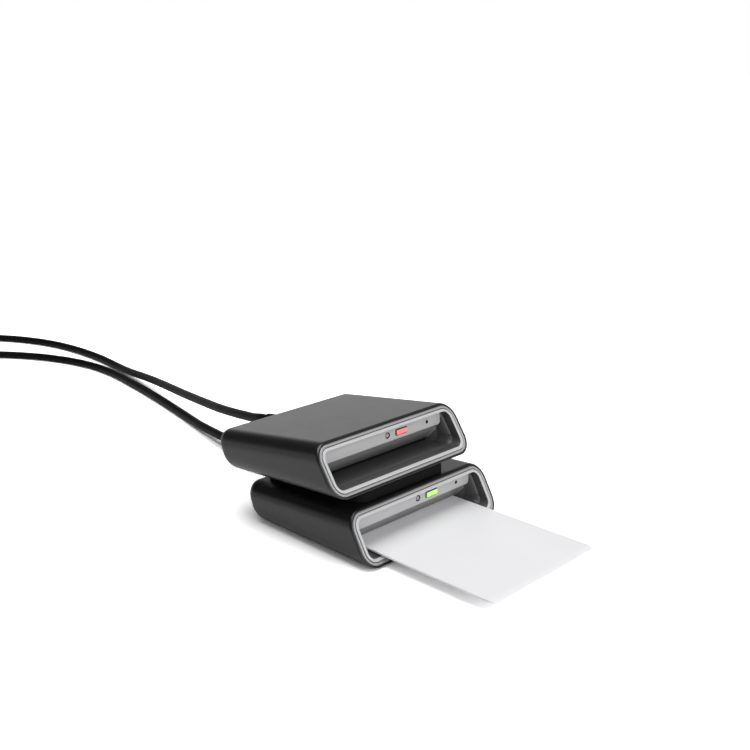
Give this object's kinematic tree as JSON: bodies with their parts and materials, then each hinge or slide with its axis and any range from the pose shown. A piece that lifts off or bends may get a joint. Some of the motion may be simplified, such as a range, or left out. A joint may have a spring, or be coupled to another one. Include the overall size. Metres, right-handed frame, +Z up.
{
  "type": "smart card reader",
  "caption": "Low desktop chip-card reader with a slanted mouth, shown stacked on a second one that holds a card, with USB cords.",
  "frame": {"origin": "On the table top, below the middle of the lower reader's cover.", "axes": "+Z up; -Y is the way the mouths face and the card comes out; +X is to the right of someone behind the readers looking along +Y, across the mouth."},
  "size_m": [0.1417, 0.5201, 0.0403],
  "materials": {
    "housing": "satin dark grey with a fine moulded grain",
    "pan": "matt dark grey",
    "rubber": "matt black rubber",
    "steel": "plain steel",
    "bezel_grey": "mid-grey painted plastic",
    "silver_ring": "satin silver paint on plastic",
    "liner_black": "matt black moulding",
    "fascia_grey": "grey painted plastic",
    "window_green": "clear plastic lit green",
    "window_red": "clear plastic lit red",
    "insert_grey": "grey moulding",
    "frame_black": "black glass-filled moulding",
    "block_cream": "cream moulding",
    "gold": "gold plate",
    "lever_white": "slippery white plastic",
    "board_green": "green solder mask",
    "chip_black": "black moulded package",
    "led_clear": "clear lens",
    "header_white": "white nylon",
    "wire_red": "coloured insulation",
    "cord_black": "satin black jacket",
    "strap_black": "woven strap",
    "plug_black": "black overmould",
    "plug_steel": "plated steel",
    "tongue_white": "white plastic",
    "card_white": "blank satin white card"
  },
  "bodies": {
    "readers": {"lower_cover": "housing", "lower_base_pan": "pan", "lower_feet": "rubber", "lower_case_screws": "steel", "lower_front_bezel": "bezel_grey", "lower_bright_ring": "silver_ring", "lower_mouth_liner": "liner_black", "lower_fascia": "fascia_grey", "lower_led_window": "window_green", "lower_round_insert": "insert_grey", "lower_slot_frame": "frame_black", "lower_contact_block": "block_cream", "lower_circuit_board": "board_green", "lower_reader_chip": "chip_black", "lower_crystal": "steel", "lower_status_led": "led_clear", "lower_cable_header": "header_white", "lower_inner_wires": "wire_red", "lower_strain_relief": "cord_black", "lower_cord": "cord_black", "lower_cord_coil": "cord_black", "lower_cord_tie": "strap_black", "lower_plug_grip": "plug_black", "lower_plug_shell": "plug_steel", "lower_plug_tongue": "tongue_white", "lower_plug_contacts": "gold", "upper_cover": "housing", "upper_base_pan": "pan", "upper_feet": "rubber", "upper_case_screws": "steel", "upper_front_bezel": "bezel_grey", "upper_bright_ring": "silver_ring", "upper_mouth_liner": "liner_black", "upper_fascia": "fascia_grey", "upper_led_window": "window_red", "upper_round_insert": "insert_grey", "upper_slot_frame": "frame_black", "upper_contact_block": "block_cream", "upper_circuit_board": "board_green", "upper_reader_chip": "chip_black", "upper_crystal": "steel", "upper_status_led": "led_clear", "upper_cable_header": "header_white", "upper_inner_wires": "wire_red", "upper_strain_relief": "cord_black", "upper_cord": "cord_black", "upper_cord_coil": "cord_black", "upper_cord_tie": "strap_black", "upper_plug_grip": "plug_black", "upper_plug_shell": "plug_steel", "upper_plug_tongue": "tongue_white", "upper_plug_contacts": "gold", "stacking_spacer": "rubber"},
    "card": {"smart_card": "card_white", "card_contacts": "gold"},
    "lower_contacts": {"lower_contact_springs": "gold"},
    "upper_contacts": {"upper_contact_springs": "gold"},
    "lower_lever": {"lower_switch_lever": "lever_white"},
    "upper_lever": {"upper_switch_lever": "lever_white"}
  },
  "joints": [
    {"name": "card_slide", "type": "slide", "parent": "readers", "child": "card", "axis": [0, -1, 0], "range_m": [0, 0.045]},
    {"name": "lower_contacts_lift", "type": "slide", "parent": "readers", "child": "lower_contacts", "axis": [0, 0, 1], "range_m": [0, 0.0003], "stiffness_N_per_m": 40},
    {"name": "upper_contacts_lift", "type": "slide", "parent": "readers", "child": "upper_contacts", "axis": [0, 0.0745, 0.9972], "range_m": [0, 0.00075], "stiffness_N_per_m": 40},
    {"name": "lower_lever_turn", "type": "hinge", "parent": "readers", "child": "lower_lever", "pos_m": [-0.014, 0.01117, 0.0075], "axis": [-1, 0, 0], "range_deg": [0, 5], "stiffness_Nm_per_rad": 0.0002},
    {"name": "upper_lever_turn", "type": "hinge", "parent": "readers", "child": "upper_lever", "pos_m": [-0.0181, 0.02183, 0.02718], "axis": [-1, 0, 0], "range_deg": [0, 10], "stiffness_Nm_per_rad": 0.0002}
  ]
}
